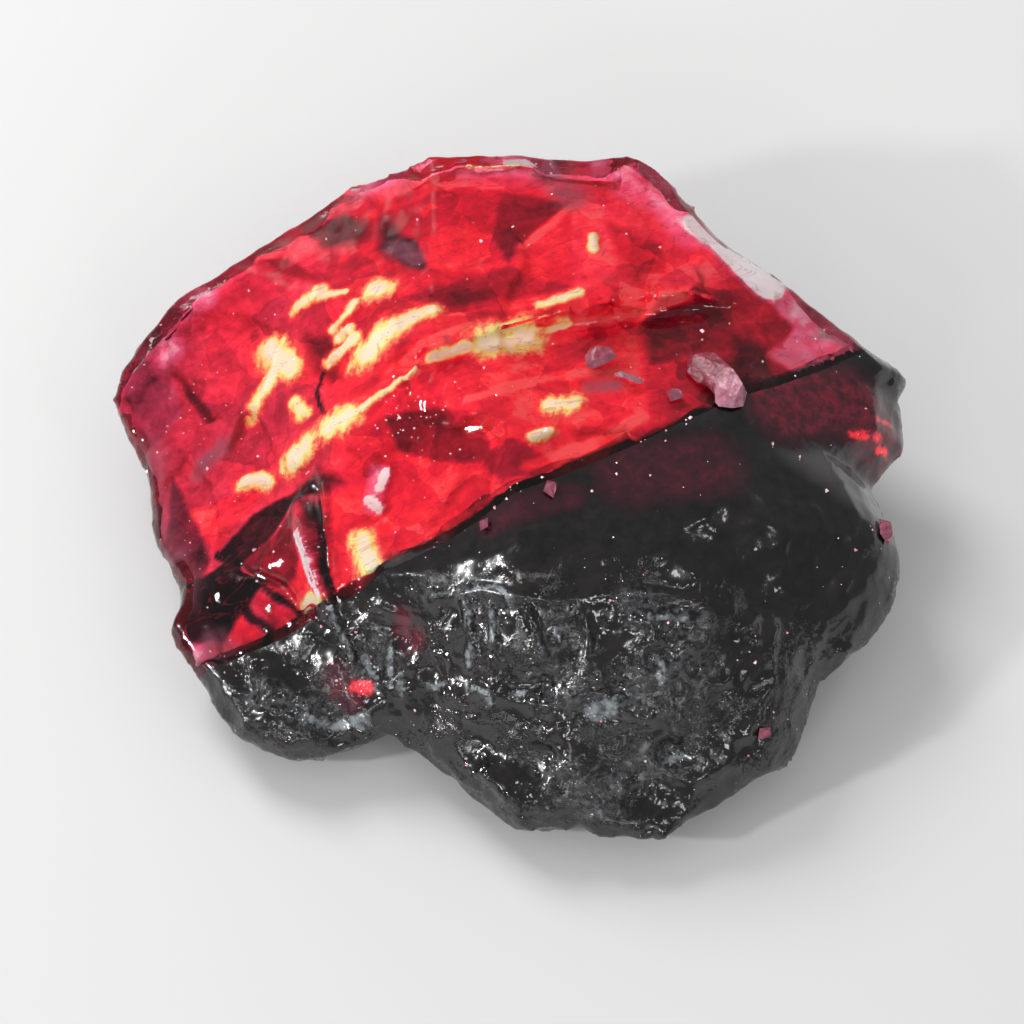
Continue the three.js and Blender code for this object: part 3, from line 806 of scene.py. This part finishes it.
class Net:
    """The nodes of one material, made by short calls that return a node's result."""

    def __init__(self, name):
        self.material = bpy.data.materials.new(name)
        self.material.use_nodes = True
        self.nodes = self.material.node_tree.nodes
        self.links = self.material.node_tree.links
        self.shader = self.nodes["Principled BSDF"]

    def put(self, kind, **inputs):
        """Adds a node and fills its inputs by name."""
        node = self.nodes.new(kind)
        for name, value in inputs.items():
            self.give(node.inputs[name], value)
        return node

    def give(self, socket, value):
        """Links a node's result to a socket, or sets the socket's own value."""
        if isinstance(value, bpy.types.NodeSocket):
            self.links.new(value, socket)
        elif isinstance(value, tuple) and len(value) == 3 and socket.type == "RGBA":
            socket.default_value = (*value, 1)
        else:
            socket.default_value = value

    def math(self, step, first, second=0.0):
        """One step of arithmetic."""
        node = self.nodes.new("ShaderNodeMath")
        node.operation = step
        self.give(node.inputs[0], first)
        self.give(node.inputs[1], second)
        return node.outputs[0]

    def plus(self, first, second):
        """The sum of two numbers."""
        return self.math("ADD", first, second)

    def minus(self, first, second):
        """The first number less the second."""
        return self.math("SUBTRACT", first, second)

    def times(self, first, second):
        """Two numbers multiplied."""
        return self.math("MULTIPLY", first, second)

    def vector(self, step, first, second=None, socket=1):
        """One step of vector arithmetic."""
        node = self.nodes.new("ShaderNodeVectorMath")
        node.operation = step
        self.give(node.inputs[0], first)
        if second is not None:
            self.give(node.inputs[socket], second)
        return node.outputs[0]

    def place(self, turn=0.0, scale=(1, 1, 1)):
        """Where a point is on the stone, in millimetres, seen along turned and stretched axes."""
        spot = self.put("ShaderNodeTexCoord").outputs["Object"]
        node = self.put("ShaderNodeMapping", Vector=spot)
        node.vector_type = "TEXTURE"
        node.inputs["Rotation"].default_value = (0, 0, math.radians(turn))
        node.inputs["Scale"].default_value = tuple(MM / s for s in scale)
        return node.outputs["Vector"]

    def noise(self, place, size, detail=2.0, rough=0.5, bend=0.0):
        """Soft noise of about this size, mostly between 0.3 and 0.7."""
        node = self.put("ShaderNodeTexNoise", Vector=place, Scale=1 / size, Detail=detail)
        node.inputs["Roughness"].default_value = rough
        node.inputs["Distortion"].default_value = bend
        return node.outputs["Fac"]

    def bent(self, place, size, amount):
        """A place pushed aside by soft noise."""
        node = self.put("ShaderNodeTexNoise", Vector=place, Scale=1 / size, Detail=2.0)
        shift = self.vector("SUBTRACT", node.outputs["Color"], MIDDLE_COLOR)
        return self.vector("ADD", place, self.vector("SCALE", shift, amount * 2, "Scale"))

    def cells(self, place, size):
        """Scattered cells: the distance to the middle and two random numbers for each cell."""
        node = self.put("ShaderNodeTexVoronoi", Vector=place, Scale=1 / size)
        split = self.put("ShaderNodeSeparateColor", Color=node.outputs["Color"])
        return node.outputs["Distance"], split.outputs["Red"], split.outputs["Green"]

    def step(self, value, low, high, start=0.0, end=1.0):
        """Goes evenly from one number to another while the value goes from low to high."""
        node = self.put("ShaderNodeMapRange", Value=value)
        node.interpolation_type = "SMOOTHSTEP"
        node.inputs["From Min"].default_value = low
        node.inputs["From Max"].default_value = high
        node.inputs["To Min"].default_value = start
        node.inputs["To Max"].default_value = end
        return node.outputs["Result"]

    def ramp(self, value, stops):
        """The colour for a value, from a list of stops."""
        node = self.put("ShaderNodeValToRGB", Fac=value)
        rows = node.color_ramp.elements
        while len(rows) < len(stops):
            rows.new(0.5)
        for row, (spot, color) in zip(rows, stops):
            row.position = spot
            row.color = (*color, 1)
        return node.outputs["Color"]

    def mix(self, share, first, second):
        """The first colour with a share of the second."""
        node = self.nodes.new("ShaderNodeMix")
        node.data_type = "RGBA"
        self.give(node.inputs[0], share)
        self.give(node.inputs[6], first)
        self.give(node.inputs[7], second)
        return node.outputs[2]

    def marks(self):
        """The four numbers kept for each point of the mesh."""
        layer = self.nodes.new("ShaderNodeVertexColor")
        layer.layer_name = "marks"
        split = self.put("ShaderNodeSeparateColor", Color=layer.outputs["Color"])
        return [*split.outputs, layer.outputs["Alpha"]]

    def bump(self, height, strength, reach):
        """The direction of a surface that this height roughens, with its reach in millimetres."""
        node = self.put("ShaderNodeBump", Height=height, Strength=strength, Distance=reach * MM)
        return node.outputs["Normal"]

    def glinting(self, normal, place, size, amount):
        """Tilts a normal at random in each of many small cells, so that single grains glint."""
        node = self.put("ShaderNodeTexVoronoi", Vector=place, Scale=1 / size)
        shift = self.vector("SUBTRACT", node.outputs["Color"], MIDDLE_COLOR)
        tilted = self.vector("ADD", normal, self.vector("SCALE", shift, amount, "Scale"))
        return self.vector("NORMALIZE", tilted)

    def finish(self, **inputs):
        """Fills the shader's inputs by name and returns the material."""
        for name, value in inputs.items():
            self.give(self.shader.inputs[name.replace("_", " ")], value)
        return self.material


def clear_red():
    """The clear skin: glass that swallows green and blue, with fine pits and steps."""
    net = Net("clear_red")
    place = net.place()
    pits = net.noise(place, 0.22, 2.0, 0.6)
    steps = net.cells(net.bent(place, 0.6, 0.25), 0.55)[1]
    height = net.plus(net.times(pits, 0.6), net.times(steps, 0.4))
    absorb = net.put("ShaderNodeVolumeAbsorption", Density=CLEAR_DENSITY)
    absorb.inputs["Color"].default_value = CLEAR_TINT
    net.links.new(absorb.outputs["Volume"], net.nodes["Material Output"].inputs["Volume"])
    return net.finish(Base_Color=(1.0, 0.97, 0.97), Transmission_Weight=1.0, IOR=1.5, Roughness=0.04,
                      Normal=net.bump(height, 0.35, 0.04))


def silk_material():
    """Silk faces in painted light and shade, rosy and mauve clouds, painted glow and highlights, fine
    threads.
    """
    net = Net("inner_silk")
    place = net.place()
    hot, tone, pink, mauve = net.marks()
    grain = net.minus(net.noise(place, 0.8, 5.0, 0.6), 0.5)
    flecks = net.minus(net.noise(place, 0.22, 3.0, 0.6), 0.5)
    streaks = net.minus(net.noise(net.place(20, (0.25, 1, 1)), 0.5, 4.0, 0.6), 0.5)
    shards = net.minus(net.cells(net.bent(place, 1.4, 0.5), 1.5)[1], 0.5)
    chips = net.minus(net.cells(net.bent(place, 0.7, 0.3), 0.7)[1], 0.5)
    for part, share in ((grain, 0.40), (streaks, 0.30), (shards, 0.20), (chips, 0.08), (flecks, 0.10)):
        tone = net.plus(tone, net.times(part, share))
    base = net.ramp(tone, SILK_TONES)
    blush = net.times(net.step(pink, 0.0, 1.0), net.step(grain, -0.25, 0.2, 0.45, 1.0))
    base = net.mix(blush, base, net.ramp(tone, ROSY_TONES))
    veil = net.times(mauve, net.step(grain, -0.2, 0.2, 0.4, 0.9))
    base = net.mix(veil, base, MAUVE)
    # Painted glow: a red halo and yellow-white streaks where light shines through the stone.
    halo = net.times(net.step(hot, -1.0, 0.2), 0.35)
    base = net.mix(halo, base, GLOW_HALO_RED)
    frayed = net.plus(net.times(grain, 1.5), net.times(flecks, 0.6))
    hatch = net.minus(net.noise(net.place(75, (0.35, 1.6, 1)), 0.6, 3.0, 0.55), 0.5)
    frayed = net.plus(frayed, net.times(hatch, 1.1))
    glow = net.step(net.plus(hot, frayed), -0.40, 0.75)
    base = net.mix(net.step(glow, 0.0, 0.15), base, net.ramp(glow, PAINTED_GLOW_TONES))
    # Painted white highlight, carried in the pink channel above 1.
    base = net.mix(net.step(net.plus(pink, grain), 0.9, 1.6), base, PAINTED_HIGHLIGHT_WHITE)
    threads = net.noise(net.place(20, (0.3, 1.2, 1)), 0.8, 3.0, 0.5, 0.6)
    thread = net.step(net.math("ABSOLUTE", net.minus(threads, 0.5)), 0.002, 0.014, 0.32, 0.0)
    base = net.mix(thread, base, THREAD_RED)
    return net.finish(Base_Color=base, Roughness=0.6, Specular_IOR_Level=0.0)


def painted_shade_zone():
    """Painted shade in glossy black, smoky, with painted highlights, glints, sheen and red glow."""
    net = Net("painted_shade_zone")
    place = net.place()
    red_glow_mark, pale, glitter, _ = net.marks()
    grain = net.noise(place, 0.5, 5.0, 0.65)
    ragged = net.minus(grain, 0.5)
    smoke = net.noise(net.place(25, (0.4, 1, 1)), 1.6, 4.0, 0.6)
    # Painted shade: near black, where no light comes through the stone.
    base = net.ramp(grain, PAINTED_SHADE_BLACK)
    base = net.mix(net.step(smoke, 0.45, 0.7, 0.0, 0.5), base, SMOKE)
    # Painted sheen: a paler grey on the rounded shoulder.
    base = net.mix(net.times(pale, 0.5), base, SHOULDER_SHEEN_GREY)
    # Painted red glow where light comes through the stone.
    frayed = net.times(net.plus(net.times(ragged, 2.4), 1.0), red_glow_mark)
    base = net.mix(net.step(frayed, 0.0, 0.15), base, net.ramp(frayed, RED_GLOW_TONES))
    # Painted highlight: a paler grey on the glittering patches.
    glitter_patch = net.times(net.step(glitter, 1.0, 2.0), net.step(net.noise(place, 0.25, 3.0), 0.4, 0.65))
    base = net.mix(glitter_patch, base, GLITTER_HIGHLIGHT_GREY)
    # Painted highlight along the ridges.
    ridge_lit = net.plus(glitter, net.times(net.minus(net.noise(place, 0.3, 3.0), 0.5), 3.0))
    base = net.mix(net.step(ridge_lit, 2.3, 3.6), base, RIDGE_HIGHLIGHT_GREY)
    glitter = net.math("MINIMUM", glitter, 2.0)
    # Painted glints: pale specks scattered over the glittering parts.
    near, name, _ = net.cells(place, 0.16)
    reach = net.minus(net.times(net.times(glitter, grain), 0.10), name)
    glint_speck = net.step(net.minus(net.times(reach, 2.0), near), -0.1, 0.1)
    base = net.mix(glint_speck, base, GLINT_SPECK_GREY)
    patchy = net.step(net.noise(place, 2.2, 1.0), 0.42, 0.62)
    pits = net.times(net.noise(place, 0.25, 3.0, 0.6), net.times(patchy, glitter))
    shells = net.times(net.cells(net.bent(place, 0.8, 0.3), 0.7)[0], glitter)
    height = net.plus(net.times(pits, 0.5), net.times(shells, 0.5))
    rough = net.step(net.noise(place, 0.8, 3.0), 0.35, 0.7, 0.05, 0.20)
    coarse = net.step(net.noise(place, 1.3, 3.0), 0.46, 0.66, 0.05, 0.85)
    grainy = net.times(net.times(coarse, glitter), 1.1)
    normal = net.glinting(net.bump(height, 1.0, 0.16), net.bent(place, 0.3, 0.1), 0.13, grainy)
    return net.finish(Base_Color=base, IOR=1.5, Roughness=rough, Normal=normal, Coat_Weight=0.4,
                      Coat_Roughness=0.22)


def dust_material():
    """The dust grains, from rosy to nearly white."""
    net = Net("dust")
    shade = net.noise(net.place(), 0.8, 2.0)
    base = net.ramp(shade, [(0.4, (0.50, 0.20, 0.25)), (0.6, (0.70, 0.50, 0.54))])
    return net.finish(Base_Color=base, IOR=1.5, Roughness=0.2)


def crumb_material():
    """The small crumbs: cloudy pink, partly see-through."""
    net = Net("crumb_pink")
    place = net.place()
    grain = net.noise(place, 0.3, 4.0, 0.6)
    base = net.ramp(grain, [(0.3, (0.22, 0.03, 0.06)), (0.65, (0.42, 0.13, 0.19))])
    return net.finish(Base_Color=base, IOR=1.7, Roughness=0.15, Transmission_Weight=0.7,
                      Normal=net.bump(grain, 0.6, 0.05))


def flake_material():
    """The large flake: deep clear red at its back end and cloudy pink at its front end."""
    net = Net("flake_pink")
    place = net.place()
    grain = net.noise(place, 0.35, 4.0, 0.6)
    spot = net.put("ShaderNodeNewGeometry").outputs["Position"]
    split = net.put("ShaderNodeSeparateXYZ", Vector=spot)
    across = net.minus(net.times(split.outputs["X"], 0.6 / MM),
                      net.times(split.outputs["Y"], 0.8 / MM))
    share = net.step(net.plus(across, net.times(grain, 1.2)), 3.3, 4.0)
    deep = net.ramp(grain, [(0.35, (0.09, 0.006, 0.015)), (0.65, (0.20, 0.025, 0.045))])
    cloudy = net.ramp(grain, [(0.35, (0.18, 0.05, 0.08)), (0.65, (0.36, 0.14, 0.19))])
    return net.finish(Base_Color=net.mix(share, deep, cloudy), IOR=1.6, Roughness=0.2,
                      Transmission_Weight=0.35, Normal=net.bump(grain, 0.8, 0.08))


# ---- floor, light and camera ---------------------------------------------------------------

def make_floor():
    """The plain pale floor, a hair below the stone."""
    mesh = bpy.data.meshes.new("floor")
    far, low = FLOOR_REACH, FLOOR_HEIGHT
    corners = [(-far, -far, low), (far, -far, low), (far, far, low), (-far, far, low)]
    mesh.from_pydata(corners, [], [(0, 1, 2, 3)])
    floor = bpy.data.objects.new("floor", mesh)
    bpy.context.scene.collection.objects.link(floor)
    net = Net("paper_floor")
    mesh.materials.append(net.finish(Base_Color=(FLOOR_GREY,) * 3, Roughness=0.9))


def make_world():
    """Even white light all round, which the polished faces mirror as a dim room."""
    world = bpy.data.worlds.new("studio")
    world.use_nodes = True
    nodes, links = world.node_tree.nodes, world.node_tree.links
    mirrored = nodes.new("ShaderNodeLightPath").outputs["Is Glossy Ray"]
    strength = nodes.new("ShaderNodeMapRange")
    strength.inputs["To Min"].default_value = ROOM_LIGHT
    strength.inputs["To Max"].default_value = MIRRORED_ROOM
    links.new(mirrored, strength.inputs["Value"])
    links.new(strength.outputs["Result"], nodes["Background"].inputs["Strength"])
    nodes["Background"].inputs["Color"].default_value = (1, 1, 1, 1)
    bpy.context.scene.world = world


def make_light(name, place, size, power, mirrored):
    """A round soft light that shines at the stone."""
    data = bpy.data.lights.new(name, "AREA")
    data.shape = "DISK"
    data.size = size
    data.energy = power
    light = bpy.data.objects.new(name, data)
    light.visible_glossy = mirrored
    light.visible_camera = False
    light.location = place
    light.rotation_euler = (-Vector(place)).to_track_quat("-Z", "Y").to_euler()
    bpy.context.scene.collection.objects.link(light)


def make_camera():
    """The camera, which looks down at the stone from the front."""
    data = bpy.data.cameras.new("camera")
    data.lens = CAMERA_LENS
    data.sensor_width = CAMERA_SENSOR
    data.clip_start = CAMERA_NEAREST
    camera = bpy.data.objects.new("camera", data)
    back = Vector((0, -math.cos(CAMERA_ELEVATION), math.sin(CAMERA_ELEVATION)))
    camera.location = Vector(CAMERA_AIM) * MM + back * CAMERA_REACH
    camera.rotation_euler = (-back).to_track_quat("-Z", "Y").to_euler()
    bpy.context.scene.collection.objects.link(camera)
    bpy.context.scene.camera = camera


make_floor()
make_world()
for light_values in LIGHTS:
    make_light(*light_values)
make_camera()
bpy.context.scene.view_settings.view_transform = "Standard"

crystal = make_crystal()
crystal.data.materials[0] = clear_red()
# The dark slot gets the painted shade material.
crystal.data.materials[1] = painted_shade_zone()
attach(crystal, "root")
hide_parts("crystal")

silk = make_silk()
silk.data.materials.append(silk_material())
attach(silk, "root")

dust = make_dust(points_of(crystal.data) / MM, normals_of(crystal.data))
dust.data.materials.append(dust_material())
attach(dust, "root")

pink, flake = crumb_material(), flake_material()
for name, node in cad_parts.items():
    if name != "crystal":
        node.data.materials.clear()
        node.data.materials.append(flake if name == "large_flake" else pink)
